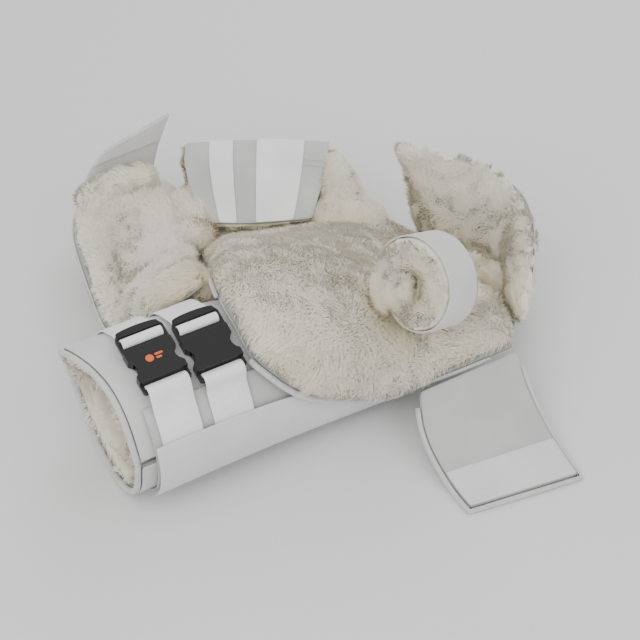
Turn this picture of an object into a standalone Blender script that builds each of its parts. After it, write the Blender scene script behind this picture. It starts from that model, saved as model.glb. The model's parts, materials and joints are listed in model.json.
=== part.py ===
"""Fleece-lined horse breastplate, half rolled up: a buckled sleeve, a padded chest
panel with two wings, a folded back flap and two closing flaps.

Metres, +Z up, standing on z = 0. Lengths along the sleeve run from its mouth.
Angles round the sleeve are in degrees from its top, positive towards its front.
"""

from math import cos, pi, radians, sin

import bmesh
import bpy
from mathutils import Matrix, Vector

# ---------------------------------------------------------------- driving dimensions
GAP = 0.0003  # between pieces that touch

# layers of the padded panels
SHELL = 0.002  # coated outer fabric
FOAM = 0.005  # sealed foam core
PILE = 0.019  # brushed fleece
PILE_EDGE = 0.4  # share of the pile left at a bound edge
BINDING = 0.0038  # radius of the bound edge
TAPE = 0.0016  # hook tape and loop panels
FLAP_FOAM = 0.003
TABLE_CLEARANCE = 0.0002
WRAP_GAP = 0.0010  # between the wraps round the sleeve
DRAPE_GAP = 0.003  # under a panel that lies over the sleeve

# sleeve: plan position of its axis and its radius, from the mouth to the tail
SLEEVE_STATIONS = [
    (-0.227, -0.163, 0.089),
    (-0.161, -0.124, 0.0875),
    (-0.099, -0.088, 0.086),
    (-0.040, -0.060, 0.078),
    (0.020, -0.039, 0.060),
    (0.075, -0.0215, 0.040),
]
SLEEVE_PILE = 0.014  # fleece pressed between two turns
LINER_PILE = 0.017  # fleece of the inner turn
LIP = 0.024  # corner of the mouth that stands out at the top
LINER_INSET = 0.008  # how far the inner turn starts inside the mouth
TURN_GAP = 0.0066
SLIT = (86.0, 442.0)  # where the outer turn begins and ends, under the closing band
LINER_TURN = (70.0, 322.0)
CLOSING_BAND = (72.0, 134.0)
CLOSING_RIM = (137.0, 152.0)
LOOP_PANEL = (46.0, 120.0)
BAND_START = 0.016  # from the mouth to the closing band's end

# webbing and buckles
WEB_WIDTH = 0.046
WEB = 0.0016
FIRST_WEB = 0.0485  # the first strap, from the mouth
BUCKLE_SPACE = 0.0065  # between the two buckles
BUCKLE_ANGLES = (13.0, 18.0)
BUCKLE_WIDTH = 0.054
WEB_PLACES = (FIRST_WEB, FIRST_WEB + BUCKLE_WIDTH + BUCKLE_SPACE)
HOUSING_LENGTH = 0.041
HOUSING_THICK = 0.011
PLATE = 0.002
SIDE_WALL = 0.004
NOTCH_RADIUS = 0.0115
NOTCH_DEPTH = 0.0055
NOTCH_PLACE = 0.023  # from the housing's mouth
CAVITY_DEPTH = 0.036
BAIL_LENGTH = 0.011
BAIL_THICK = 0.0045
BAR = 0.0045
WEB_CLEARANCE = 0.0008
FRAME_THICK = 0.0050
FRAME_LENGTH = 0.0245
ARCH = 0.0035
OUTER_BAR = 0.0050
CENTRE_BAR = 0.0055
OUTER_SLOT = 0.0050
INNER_SLOT = 0.0042
MOUTH_CLEARANCE = 0.0006
SLIDE_CLEARANCE = 0.0006
TONGUE_WIDTH = 0.014
TONGUE_LENGTH = 0.027
PRONG_WIDTH = 0.0050
PRONG_LENGTH = 0.031
ROOT_RADIUS = 0.0030
ROOT_PLACE = 0.0165  # of each prong's root, from the buckle's middle
ROOT_DEPTH = 0.0034  # of each prong's root, behind the housing's mouth
NOTCH_PAD = 0.0085  # radius of a prong's thumb pad
SEAT_CLEARANCE = 0.0006
UPPER_WEB_END = -62.0
LOWER_WEB_RUN = (112.0, 50.0)  # round the sleeve, from under the band to the buckle
WEB_OVER_BAIL = 0.0018  # the lower web's rise over the bar that holds it
WEB_TURN_RADIUS = 0.0050  # of the upper web round the centre bar
WEB_TURN = (205.0, 160.0, 115.0, 70.0, 25.0)
BUCKLE_SEAT = 0.009  # where the buckle touches the sleeve, behind the housing's mouth

# seams between panels, and the flaps
SEAM_GAP = 0.0115
SEAM_TAPE = 0.0024  # radius
JOIN_TAPE = 0.0028  # radius
SEAM = [(0.110, -0.082, 0.058), (0.165, -0.056, 0.062), (0.222, -0.026, 0.066)]
FLAP_UNDER = FLAP_FOAM + SHELL + 2 * GAP
FLAP_BINDING = 0.0034  # radius
BACK_FLAP_FOLD = (Vector((-0.170, 0.302, 0.092)), Vector((0.016, 0.306, 0.094)))
BACK_WEB_COLUMNS = ((0.5, 1.0), (1.5, 2.5))

# right-hand rolled strap
ROLL_CENTRE = (0.1000, -0.0620, 0.184)
ROLL_AXIS = (0.727, 0.601, -0.335)
ROLL_RADIUS = 0.068
ROLL_LENGTH = 0.044
ROLL_PILE = 0.015
ROLL_TURNS = 2.25
ROLL_START = -60.0
ROLL_GAP = 0.0025  # between its turns


# ---------------------------------------------------------------- helpers
for old in list(bpy.data.objects):
    bpy.data.objects.remove(old, do_unlink=True)

parts = bpy.data.collections.new("breastplate")
cutters = bpy.data.collections.new("cutters")
bpy.context.scene.collection.children.link(parts)
bpy.context.scene.collection.children.link(cutters)


def material(name, colour, roughness):
    made = bpy.data.materials.new(name)
    made.use_nodes = True
    shader = made.node_tree.nodes["Principled BSDF"]
    shader.inputs["Base Color"].default_value = (*colour, 1.0)
    shader.inputs["Roughness"].default_value = roughness
    shader.inputs["Metallic"].default_value = 0.0
    return made


SHELL_WHITE = (0.70, 0.71, 0.70)
SHELL_GREY = (0.50, 0.51, 0.50)
FLEECE_CREAM = (0.80, 0.76, 0.62)
WEB_WHITE = (0.82, 0.83, 0.83)
FOAM_GREY = (0.35, 0.36, 0.36)
BUCKLE_BLACK = (0.02, 0.02, 0.021)


def pivot_at(name, start, end):
    """An empty on a hinge line, its local X along the line."""
    pivot = bpy.data.objects.new(name, None)
    parts.objects.link(pivot)
    along = (end - start).normalized()
    turn = along.to_track_quat("X", "Z").to_matrix().to_4x4()
    pivot.matrix_world = Matrix.Translation((start + end) / 2) @ turn
    bpy.context.view_layer.update()
    return pivot


def hang(pivot, pieces):
    """Parents pieces to a pivot, where they stand."""
    for piece in pieces:
        piece.parent = pivot
        piece.matrix_parent_inverse = pivot.matrix_world.inverted()


def add_part(name, mesh, colour, roughness=0.8, parent=None):
    """Links a new named sub-part, with its own material, to the model."""
    part = bpy.data.objects.new(name, mesh)
    parts.objects.link(part)
    mesh.materials.clear()
    mesh.materials.append(material(name, colour, roughness))
    part.parent = parent
    return part


def evaluated_mesh(source):
    depsgraph = bpy.context.evaluated_depsgraph_get()
    return bpy.data.meshes.new_from_object(source.evaluated_get(depsgraph))


def cage_surface(rows):
    """An open surface through a cage of points, rounded by Subdivision Surface.

    Its UV map holds (column, row) in cage steps, so a strip of it can be taken later.
    """
    columns = len(rows[0])
    grid = bmesh.new()
    uv = grid.loops.layers.uv.new("cage")
    bmesh.ops.create_grid(
        grid, x_segments=columns - 1, y_segments=len(rows) - 1, size=1.0
    )
    places = {}
    for vertex in grid.verts:
        column = round((vertex.co.x + 1) / 2 * (columns - 1))
        row = round((vertex.co.y + 1) / 2 * (len(rows) - 1))
        places[vertex.index] = (column, row)
        vertex.co = rows[row][column]
    for face in grid.faces:
        for loop in face.loops:
            loop[uv].uv = places[loop.vert.index]
    mesh = bpy.data.meshes.new("cage")
    grid.to_mesh(mesh)
    grid.free()
    cage = bpy.data.objects.new("cage", mesh)
    cutters.objects.link(cage)
    rounded = cage.modifiers.new("rounded", "SUBSURF")
    rounded.levels = 1
    rounded.render_levels = 1
    rounded.boundary_smooth = "PRESERVE_CORNERS"
    rounded.uv_smooth = "NONE"
    surface = evaluated_mesh(cage)
    bpy.data.objects.remove(cage)
    return surface


def strip_of(surface, columns=None, rows=None):
    """The part of a cage surface between two columns and two rows of its cage."""
    strip = bmesh.new()
    strip.from_mesh(surface)
    uv = strip.loops.layers.uv["cage"]
    outside = []
    for face in strip.faces:
        middle = sum((loop[uv].uv for loop in face.loops), Vector((0, 0))) / len(face.loops)
        in_columns = columns is None or columns[0] <= middle.x <= columns[1]
        in_rows = rows is None or rows[0] <= middle.y <= rows[1]
        if not (in_columns and in_rows):
            outside.append(face)
    bmesh.ops.delete(strip, geom=outside, context="FACES")
    mesh = bpy.data.meshes.new("strip")
    strip.to_mesh(mesh)
    strip.free()
    return mesh


def layer(name, surface, start, thick, colour, roughness=0.85, parent=None, edge=None):
    """A sheet that lies from start to start + thick above a surface.

    With edge, the sheet thins to that share of its thickness at its outline.
    """
    sheet = add_part(name, surface.copy(), colour, roughness, parent)
    if abs(start) > 1e-9:
        lifted = sheet.modifiers.new("lifted", "DISPLACE")
        lifted.mid_level = 0.0
        lifted.strength = start
    solid = sheet.modifiers.new("thickness", "SOLIDIFY")
    solid.thickness = thick
    solid.offset = 1.0
    if edge is not None:
        thin = sheet.vertex_groups.new(name="thickness")
        outline = open_edge(surface)
        for vertex in surface.vertices:
            thin.add([vertex.index], edge if vertex.index in outline else 1.0, "REPLACE")
        solid.vertex_group = "thickness"
    sheet.data.shade_smooth()
    return sheet


def open_edge(surface):
    """The indices of the vertices on a surface's outline."""
    uses = {}
    for face in surface.polygons:
        for key in face.edge_keys:
            uses[key] = uses.get(key, 0) + 1
    return {index for key, count in uses.items() if count == 1 for index in key}


def outline_points(surface, keep):
    """The outline of a surface as ordered (point, outward, normal), where keep(uv) holds."""
    rim = bmesh.new()
    rim.from_mesh(surface)
    rim.normal_update()
    uv = rim.loops.layers.uv["cage"]
    chain = {}
    for edge in rim.edges:
        if edge.is_boundary:
            loop = edge.link_loops[0]
            chain[loop.vert.index] = (loop.link_loop_next.vert.index, loop)
    start = min(chain)
    order = [start]
    while chain[order[-1]][0] != start:
        order.append(chain[order[-1]][0])
    rim.verts.ensure_lookup_table()
    found = []
    for place, index in enumerate(order):
        vertex = rim.verts[index]
        arriving = (vertex.co - rim.verts[order[place - 1]].co).normalized()
        leaving = (rim.verts[order[(place + 1) % len(order)]].co - vertex.co).normalized()
        outward = (arriving + leaving).normalized().cross(vertex.normal).normalized()
        outward /= max(0.6, outward.dot(arriving.cross(vertex.normal).normalized()))
        spot = chain[index][1][uv].uv.copy()
        found.append((vertex.co.copy(), outward, vertex.normal.copy(), keep(spot)))
    rim.free()
    if all(kept for *_, kept in found):
        return [entry[:3] for entry in found], True
    first = next(i for i in range(len(found)) if found[i][3] and not found[i - 1][3])
    turned = found[first:] + found[:first]
    return [entry[:3] for entry in turned if entry[3]], False


def bound_edge(name, surface, depth, radius=BINDING, keep=lambda spot: True, parent=None,
               step=1, colour=SHELL_GREY):
    """Binding tape along an outline, as a tube beside the edge, depth below the surface."""
    points, closed = outline_points(surface, keep)
    kept = points[::step] if closed else points[:-1:step] + points[-1:]
    route = [at + outward * (radius + GAP) - normal * depth for at, outward, normal in kept]
    return tube(name, route, radius, closed, colour, parent)


def tube(name, route, radius, closed, colour, parent=None):
    curve = bpy.data.curves.new(name, "CURVE")
    curve.dimensions = "3D"
    spline = curve.splines.new("POLY")
    spline.points.add(len(route) - 1)
    for point, place in zip(spline.points, route):
        point.co = (*place, 1.0)
    spline.use_cyclic_u = closed
    curve.bevel_depth = radius
    curve.bevel_resolution = 1
    curve.use_fill_caps = not closed
    bent = bpy.data.objects.new("route", curve)
    cutters.objects.link(bent)
    mesh = evaluated_mesh(bent)
    bpy.data.objects.remove(bent)
    welded = bmesh.new()
    welded.from_mesh(mesh)
    bmesh.ops.remove_doubles(welded, verts=welded.verts, dist=0.00001)
    bmesh.ops.recalc_face_normals(welded, faces=welded.faces)
    welded.to_mesh(mesh)
    welded.free()
    mesh.shade_smooth()
    return add_part(name, mesh, colour, 0.8, parent)


# ---------------------------------------------------------------- the sleeve
def sleeve_at(distance):
    """Axis point, axis direction, front direction and radius at a distance from the mouth."""
    reached = 0.0
    for here, there in zip(SLEEVE_STATIONS, SLEEVE_STATIONS[1:]):
        run = Vector((there[0] - here[0], there[1] - here[1], 0.0))
        last = there is SLEEVE_STATIONS[-1]
        if distance <= reached + run.length or last:
            share = (distance - reached) / run.length
            radius = here[2] + (there[2] - here[2]) * share
            along = run.normalized()
            centre = Vector((here[0], here[1], 0.0)) + run * share
            centre.z = radius + TABLE_CLEARANCE
            return centre, along, Vector((along.y, -along.x, 0.0)), radius
        reached += run.length


SLEEVE_LENGTH = sum(
    (Vector(there[:2]) - Vector(here[:2])).length
    for here, there in zip(SLEEVE_STATIONS, SLEEVE_STATIONS[1:])
)


def on_sleeve(distance, angle, lift=0.0):
    """A point above the sleeve's outer face."""
    centre, along, front, radius = sleeve_at(distance)
    turn = radians(angle)
    reach = radius + lift
    return centre + front * (reach * sin(turn)) + Vector((0, 0, reach * cos(turn)))


def sleeve_rows(distances, angles, lift, lip=0.0):
    """A cage round the sleeve. Its mouth row is pulled out at the top by lip."""
    rows = []
    for angle in angles:
        row = [on_sleeve(distance, angle, lift) for distance in distances]
        top = max(0.0, cos(radians(angle + 32.0))) ** 6
        row[0] = row[0] - sleeve_at(0.0)[1] * (lip * top)
        rows.append(row)
    return rows


LOWER_WEB_LIFT = TAPE + 2 * WRAP_GAP  # over the loop panel
BAND_LIFT = LOWER_WEB_LIFT + WEB + 2 * WRAP_GAP  # over the lower webs


def spread(first, last, count):
    return [first + (last - first) * step / (count - 1) for step in range(count)]


def pulled_in(step):
    """The share of a ring's radius that rounding takes off, for a cage step in degrees."""
    return 1.0 / cos(radians(step / 2)) - 1.0


def fuller_ring(distances, angles, lift, lip=0.0):
    """A cage round the sleeve, widened for what its rounding pulls in."""
    rows = []
    for angle, row in zip(angles, sleeve_rows(distances, angles, lift, lip)):
        at_edge = angle in (angles[0], angles[-1])
        wider = 0.0 if at_edge else pulled_in(angles[1] - angles[0])
        widened = []
        for distance, point in zip(distances, row):
            centre, along, _, _ = sleeve_at(distance)
            radial = point - centre
            widened.append(point + (radial - radial.project(along)) * wider)
        rows.append(widened)
    return rows


def build_sleeve():
    along = spread(0.0, SLEEVE_LENGTH, 6)
    around = spread(SLIT[1], SLIT[0], 13)
    outer = cage_surface(fuller_ring(along, around, -SHELL - FOAM - GAP, LIP))
    layer("sleeve_shell", outer, FOAM + GAP, SHELL, SHELL_WHITE)
    layer("sleeve_foam", outer, 0.0, FOAM, FOAM_GREY)
    layer("sleeve_fleece", outer, -GAP - SLEEVE_PILE, SLEEVE_PILE, FLEECE_CREAM)
    bound_edge(
        "sleeve_mouth_binding", outer, -(SHELL + FOAM) / 2, keep=lambda spot: spot.x < 0.01
    )

    liner = cage_surface(
        fuller_ring(
            [LINER_INSET, *along[1:4]],
            spread(LINER_TURN[1], LINER_TURN[0], 9),
            -SHELL - FOAM - 2 * GAP - SLEEVE_PILE - TURN_GAP - SHELL,
        )
    )
    layer("liner_shell", liner, 0.0, SHELL, SHELL_WHITE)
    layer("liner_fleece", liner, -GAP - LINER_PILE, LINER_PILE, FLEECE_CREAM)

    band_along = [BAND_START, *along[1:-1], SLEEVE_LENGTH * 0.97]
    band = cage_surface(
        fuller_ring(band_along, spread(CLOSING_BAND[1], CLOSING_BAND[0], 5), BAND_LIFT)
    )
    layer("closing_hook_band", band, 0.0, TAPE, WEB_WHITE)
    rim = cage_surface(
        fuller_ring(band_along, spread(CLOSING_RIM[1], CLOSING_RIM[0], 3), WRAP_GAP)
    )
    layer("closing_band_rim", rim, 0.0, TAPE, SHELL_GREY)
    panel = cage_surface(
        fuller_ring(band_along, spread(LOOP_PANEL[1], LOOP_PANEL[0], 6), WRAP_GAP)
    )
    layer("sleeve_loop_panel", panel, 0.0, TAPE, SHELL_GREY)


# ---------------------------------------------------------------- webbing and buckles
def box(name, low, high):
    """A box between two corners, as a mesh object."""
    size = Vector(high) - Vector(low)
    bpy.ops.mesh.primitive_cube_add(size=1.0, location=(0, 0, 0))
    made = bpy.context.object
    made.name = name
    made.data.transform(Matrix.Diagonal((*size, 1.0)))
    made.data.transform(Matrix.Translation((Vector(low) + Vector(high)) / 2))
    return made


def move_to(made, collection):
    for holder in list(made.users_collection):
        holder.objects.unlink(made)
    collection.objects.link(made)


def cut(target, tool, operation="DIFFERENCE"):
    """Cuts or joins a tool into a target, for good, and removes the tool."""
    change = target.modifiers.new(operation.lower(), "BOOLEAN")
    change.operation = operation
    change.solver = "EXACT"
    change.object = tool
    mesh = evaluated_mesh(target)
    target.modifiers.remove(change)
    target.data = mesh
    bpy.data.objects.remove(tool)


def outline_plate(outlines, thick):
    """A flat plate, thick in Z about 0, from an outer outline and the holes in it."""
    curve = bpy.data.curves.new("outline", "CURVE")
    curve.dimensions = "2D"
    curve.fill_mode = "BOTH"
    curve.extrude = thick / 2
    for points in outlines:
        spline = curve.splines.new("POLY")
        spline.points.add(len(points) - 1)
        for point, (x, y) in zip(spline.points, points):
            point.co = (x, y, 0.0, 1.0)
        spline.use_cyclic_u = True
    flat = bpy.data.objects.new("outline", curve)
    cutters.objects.link(flat)
    mesh = evaluated_mesh(flat)
    bpy.data.objects.remove(flat)
    welded = bmesh.new()
    welded.from_mesh(mesh)
    bmesh.ops.remove_doubles(welded, verts=welded.verts, dist=0.00001)
    bmesh.ops.recalc_face_normals(welded, faces=welded.faces)
    welded.to_mesh(mesh)
    welded.free()
    plate = bpy.data.objects.new("plate", mesh)
    cutters.objects.link(plate)
    return plate


def rectangle(x0, y0, x1, y1):
    return [(x0, y0), (x1, y0), (x1, y1), (x0, y1)]


def arc(centre, radius, first, last, steps):
    return [
        (centre[0] + radius * cos(radians(turn)), centre[1] + radius * sin(radians(turn)))
        for turn in spread(first, last, steps)
    ]


def post(x, y, radius, height, vertices=20):
    bpy.ops.mesh.primitive_cylinder_add(
        vertices=vertices, radius=radius, depth=height, location=(0, 0, 0)
    )
    made = bpy.context.object
    made.data.transform(Matrix.Translation((x, y, 0)))
    return made


def finish_buckle_piece(made, name, parent, bevel, lift=0.0, origin=(0.0, 0.0)):
    """Names a piece of the buckle, rounds its edges and puts its origin on its joint."""
    made.name = name
    move_to(made, parts)
    made.data.transform(Matrix.Translation((-origin[0], -origin[1], 0)))
    made.location = (origin[0], origin[1], lift)
    made.parent = parent
    made.data.materials.clear()
    made.data.materials.append(material(name, BUCKLE_BLACK, 0.38))
    if bevel:
        rounded = made.modifiers.new("rounded edges", "BEVEL")
        rounded.width = bevel
        rounded.segments = 1
        rounded.limit_method = "ANGLE"
        rounded.angle_limit = radians(40)
    return made


def build_housing(name, parent):
    """The female half: a flat box with its mouth at y = 0 and a strap bar behind it."""
    half = BUCKLE_WIDTH / 2
    thick = HOUSING_THICK / 2
    body = box(name, (-half, -HOUSING_LENGTH, -thick), (half, 0, thick))
    corner = 0.002
    edge_y = -HOUSING_LENGTH + 0.001
    tail_y = -HOUSING_LENGTH - BAIL_LENGTH
    opening = WEB_WIDTH / 2 + WEB_CLEARANCE
    outer = [
        (-half, edge_y),
        (-half, tail_y + corner),
        (-half + corner, tail_y),
        (half - corner, tail_y),
        (half, tail_y + corner),
        (half, edge_y),
    ]
    slot = rectangle(-opening, tail_y + BAR, opening, -HOUSING_LENGTH - 0.0004)
    bail = outline_plate([outer, slot], BAIL_THICK)
    bail.data.transform(Matrix.Translation((0, 0, (BAIL_THICK - HOUSING_THICK) / 2 + 0.0006)))
    cut(body, bail, "UNION")
    inner = half - SIDE_WALL
    roof = HOUSING_THICK / 2 - PLATE
    cavity = box("cavity", (-inner, -CAVITY_DEPTH, -roof), (inner, 0.001, roof))
    cut(body, cavity)
    for side in (-1, 1):
        x = side * (half + NOTCH_RADIUS - NOTCH_DEPTH)
        cut(body, post(x, -NOTCH_PLACE, NOTCH_RADIUS, HOUSING_THICK * 2, 28))
    return finish_buckle_piece(body, name, parent, 0.0006)


def build_insert(name, parent):
    """The male half: an arched strap frame, a tongue, and roots for the two prongs."""
    half = BUCKLE_WIDTH / 2
    start = MOUTH_CLEARANCE
    end = FRAME_LENGTH
    opening = WEB_WIDTH / 2 + WEB_CLEARANCE
    shoulder = 0.0062
    outer = [(-half + 0.001, start), (half - 0.001, start), (half, start + 0.001)]
    outer += [(half, end - shoulder), (half - shoulder * 0.5, end - 0.001)]
    outer += [
        (half * 0.9 * cos(turn), end + ARCH * sin(turn))
        for turn in (pi * step / 10 for step in range(1, 10))
    ]
    outer += [(-half + shoulder * 0.5, end - 0.001), (-half, end - shoulder)]
    outer += [(-half, start + 0.001)]
    bar_high = end - OUTER_BAR
    bar_low = bar_high - OUTER_SLOT
    inner_high = bar_low - CENTRE_BAR
    slots = [
        rectangle(-opening, bar_low, opening, bar_high),
        rectangle(-opening, inner_high - INNER_SLOT, opening, inner_high),
    ]
    frame = outline_plate([outer, *slots], FRAME_THICK)
    inside = half - SIDE_WALL - SLIDE_CLEARANCE
    thick = FRAME_THICK / 2
    root = box("root", (-inside, -0.003, -thick * 0.9), (inside, start + 0.0005, thick * 0.9))
    cut(frame, root, "UNION")
    tongue = box(
        "tongue",
        (-TONGUE_WIDTH / 2, -TONGUE_LENGTH, -thick * 0.7),
        (TONGUE_WIDTH / 2, 0.0, thick * 0.7),
    )
    cut(frame, tongue, "UNION")
    for side in (-1, 1):
        cut(frame, post(side * ROOT_PLACE, -ROOT_DEPTH, ROOT_RADIUS + GAP, 0.02, 20))
    return finish_buckle_piece(frame, name, parent, 0.0005)


def build_prong(name, parent, side):
    """A release prong: a round root, a sprung arm and a thumb pad in the side notch."""
    inside = BUCKLE_WIDTH / 2 - SIDE_WALL - SLIDE_CLEARANCE
    pad_centre = inside - NOTCH_PAD
    points = arc((ROOT_PLACE, -ROOT_DEPTH), ROOT_RADIUS, 165, 15, 8)
    points += [(ROOT_PLACE + PRONG_WIDTH * 0.55, -0.008)]
    points += arc((pad_centre, -NOTCH_PLACE), NOTCH_PAD, 62, -62, 9)
    points += [(inside - PRONG_WIDTH, -PRONG_LENGTH)]
    points += [(pad_centre - PRONG_WIDTH * 0.5, -NOTCH_PLACE)]
    points += [(ROOT_PLACE - PRONG_WIDTH * 0.5, -0.008)]
    placed = [(side * x, y) for x, y in points]
    plate = outline_plate([placed if side > 0 else placed[::-1]], FRAME_THICK)
    return finish_buckle_piece(
        plate, name, parent, 0.0004, origin=(side * ROOT_PLACE, -ROOT_DEPTH)
    )


def build_strap_set(number, distance, angle):
    """One buckle, square to the sleeve, with its upper and lower webbing."""
    centre, along, front, radius = sleeve_at(distance)
    outward = front * sin(radians(angle)) + Vector((0, 0, cos(radians(angle))))
    uphill = outward.cross(along)
    right = uphill.cross(outward)
    touch = centre + outward * radius
    seat = bpy.data.objects.new(f"buckle_{number}_seat", None)
    parts.objects.link(seat)
    middle = touch + outward * (HOUSING_THICK / 2 + SEAT_CLEARANCE) + uphill * BUCKLE_SEAT
    turn = Matrix((right, uphill, outward)).transposed().to_4x4()
    seat.matrix_world = Matrix.Translation(middle) @ turn
    bpy.context.view_layer.update()

    build_housing(f"buckle_{number}_housing", seat)
    build_insert(f"buckle_{number}_insert", seat)
    build_prong(f"buckle_{number}_prong_left", seat, -1)
    build_prong(f"buckle_{number}_prong_right", seat, 1)

    def local(y, z):
        return middle + uphill * y + outward * z

    def web(name, route):
        half = right * (WEB_WIDTH / 2)
        rows = [[point - half, point, point + half] for point in route]
        layer(name, cage_surface(rows), 0.0, WEB, WEB_WHITE)

    def wound(first, last, count, lift):
        """Stations round the sleeve from one angle to another."""
        stations = spread(first, last, count)
        fuller = radius * pulled_in(stations[1] - stations[0])
        free_end = max(stations, key=abs)
        return [
            on_sleeve(distance, station, lift if station == free_end else lift + fuller)
            for station in stations
        ]

    # lower strap: out from under the closing band, up and over the housing's bar
    bar_y = -HOUSING_LENGTH - BAIL_LENGTH + BAR / 2
    low = -HOUSING_THICK / 2
    over = low + BAIL_THICK + WEB_OVER_BAIL
    route = wound(*LOWER_WEB_RUN, 7, LOWER_WEB_LIFT)
    route += [local(bar_y - 0.0075, low + 0.0014), local(bar_y - 0.0025, over)]
    route += [local(bar_y + 0.0018, over + 0.0002), local(-HOUSING_LENGTH - 0.0022, over - 0.0035)]
    web(f"lower_web_{number}", route)

    # upper strap: over the top, under the outer bar, over the centre bar, tail back under
    thick = FRAME_THICK / 2
    centre_y = FRAME_LENGTH - OUTER_BAR - OUTER_SLOT - CENTRE_BAR / 2
    route = [
        local(
            centre_y + WEB_TURN_RADIUS * cos(radians(turn)), WEB_TURN_RADIUS * sin(radians(turn))
        )
        for turn in WEB_TURN
    ]
    route += [local(centre_y + WEB_TURN_RADIUS * 1.05, -thick - 0.0012)]
    route += [local(FRAME_LENGTH - OUTER_BAR, -thick - 0.0034)]
    route += [local(FRAME_LENGTH + 0.003, -thick - 0.0046)]
    route += wound(angle - 35.0, UPPER_WEB_END, 5, WRAP_GAP)
    web(f"upper_web_{number}", route)


# ---------------------------------------------------------------- the chest panel
UNDERSIDE = SHELL + FOAM + 2 * GAP  # from a panel's base surface down to its outer face
ON_TABLE = UNDERSIDE + TABLE_CLEARANCE


def padded_panel(name, rows, binding=None, foam=True):
    """A sewn panel: outer shell, foam core and fleece on one base surface."""
    surface = cage_surface(rows)
    if foam:
        layer(f"{name}_shell", surface, -UNDERSIDE + SHELL, -SHELL, SHELL_WHITE)
        layer(f"{name}_foam", surface, -GAP, -FOAM, FOAM_GREY)
    layer(f"{name}_fleece", surface, 0.0, PILE, FLEECE_CREAM, edge=PILE_EDGE)
    if binding is not None:
        bound_edge(f"{name}_binding", surface, UNDERSIDE / 2, keep=binding)
    return surface


def chest_rows():
    """The chest panel from its front edge, over the sleeve, down to the table behind."""
    base = UNDERSIDE + DRAPE_GAP
    over_band = base + BAND_LIFT + TAPE + 2 * WRAP_GAP
    over_loop = base + TAPE
    front = [
        (0.146, 40.0, base), (0.181, 64.0, over_band), (0.222, 75.0, over_band),
        (0.270, 82.0, over_band), (0.314, 90.0, over_band),
    ]
    shoulder = [
        (0.147, 14.0, base), (0.178, 34.0, over_loop), (0.220, 42.0, over_band),
        (0.269, 47.0, over_band), (0.316, 53.0, over_band),
    ]
    ridge = [
        (0.148, -12.0, base), (0.174, -2.0, base), (0.218, 4.0, base),
        (0.268, 8.0, base), (0.318, 12.0, base),
    ]
    fuller = 0.0032  # what rounding takes off the rows that curve over the sleeve
    rows = [
        [on_sleeve(*place) for place in front] + [Vector(place) for place in SEAM],
        [on_sleeve(distance, angle, lift + fuller) for distance, angle, lift in shoulder]
        + [Vector((0.118, -0.062, 0.068)), Vector((0.170, -0.034, 0.064)),
           Vector((0.223, -0.010, 0.064))],
        [on_sleeve(distance, angle, lift + fuller) for distance, angle, lift in ridge]
        + [Vector((0.124, -0.030, 0.072)), Vector((0.174, -0.006, 0.062)),
           Vector((0.224, 0.012, 0.060))],
    ]
    rows.append([
        Vector((-0.122, 0.004, 0.154)), Vector((-0.072, 0.022, 0.152)),
        Vector((-0.018, 0.034, 0.140)), Vector((0.044, 0.038, 0.110)),
        Vector((0.090, 0.030, 0.080)), Vector((0.134, 0.024, 0.062)),
        Vector((0.184, 0.034, 0.048)), Vector((0.230, 0.048, 0.048)),
    ])
    rows.append([
        Vector((-0.140, 0.095, 0.080)), Vector((-0.085, 0.115, 0.076)),
        Vector((-0.025, 0.130, 0.066)), Vector((0.038, 0.135, 0.052)),
        Vector((0.092, 0.122, 0.038)), Vector((0.138, 0.100, 0.026)),
        Vector((0.184, 0.092, 0.022)), Vector((0.229, 0.090, 0.030)),
    ])
    rows.append([
        Vector((-0.146, 0.185, 0.020)), Vector((-0.090, 0.202, 0.012)),
        Vector((-0.030, 0.232, ON_TABLE)), Vector((0.036, 0.268, ON_TABLE + 0.008)),
        Vector((0.088, 0.258, ON_TABLE + 0.006)), Vector((0.124, 0.228, ON_TABLE + 0.002)),
        Vector((0.168, 0.176, ON_TABLE + 0.002)), Vector((0.212, 0.136, 0.016)),
    ])
    return rows


def left_wing_rows(chest):
    """The wing behind the sleeve, from its seam on the chest panel out to its free edge."""
    seam = [row[0] + Vector((-SEAM_GAP, 0, 0)) for row in chest[2:]]
    seam[0] = Vector((-0.134, -0.026, 0.160))
    seam.append(Vector((-0.174, 0.262, 0.036)))
    columns = [
        seam,
        [Vector(p) for p in (
            (-0.176, -0.022, 0.118), (-0.180, 0.035, 0.078), (-0.192, 0.115, 0.036),
            (-0.202, 0.204, 0.020), (-0.213, 0.293, 0.064))],
        [Vector(p) for p in (
            (-0.214, -0.012, 0.070), (-0.226, 0.050, 0.034), (-0.236, 0.128, 0.013),
            (-0.246, 0.208, 0.022), (-0.252, 0.268, 0.082))],
        [Vector(p) for p in (
            (-0.240, -0.002, 0.052), (-0.262, 0.060, 0.034), (-0.278, 0.132, 0.028),
            (-0.288, 0.198, 0.044), (-0.286, 0.238, 0.086))],
        [Vector(p) for p in (
            (-0.252, 0.010, 0.066), (-0.276, 0.072, 0.074), (-0.298, 0.132, 0.076),
            (-0.312, 0.180, 0.080), (-0.306, 0.214, 0.088))],
    ]
    return [[columns[c][r] for c in (4, 3, 2, 1, 0)] for r in range(5)]


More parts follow.
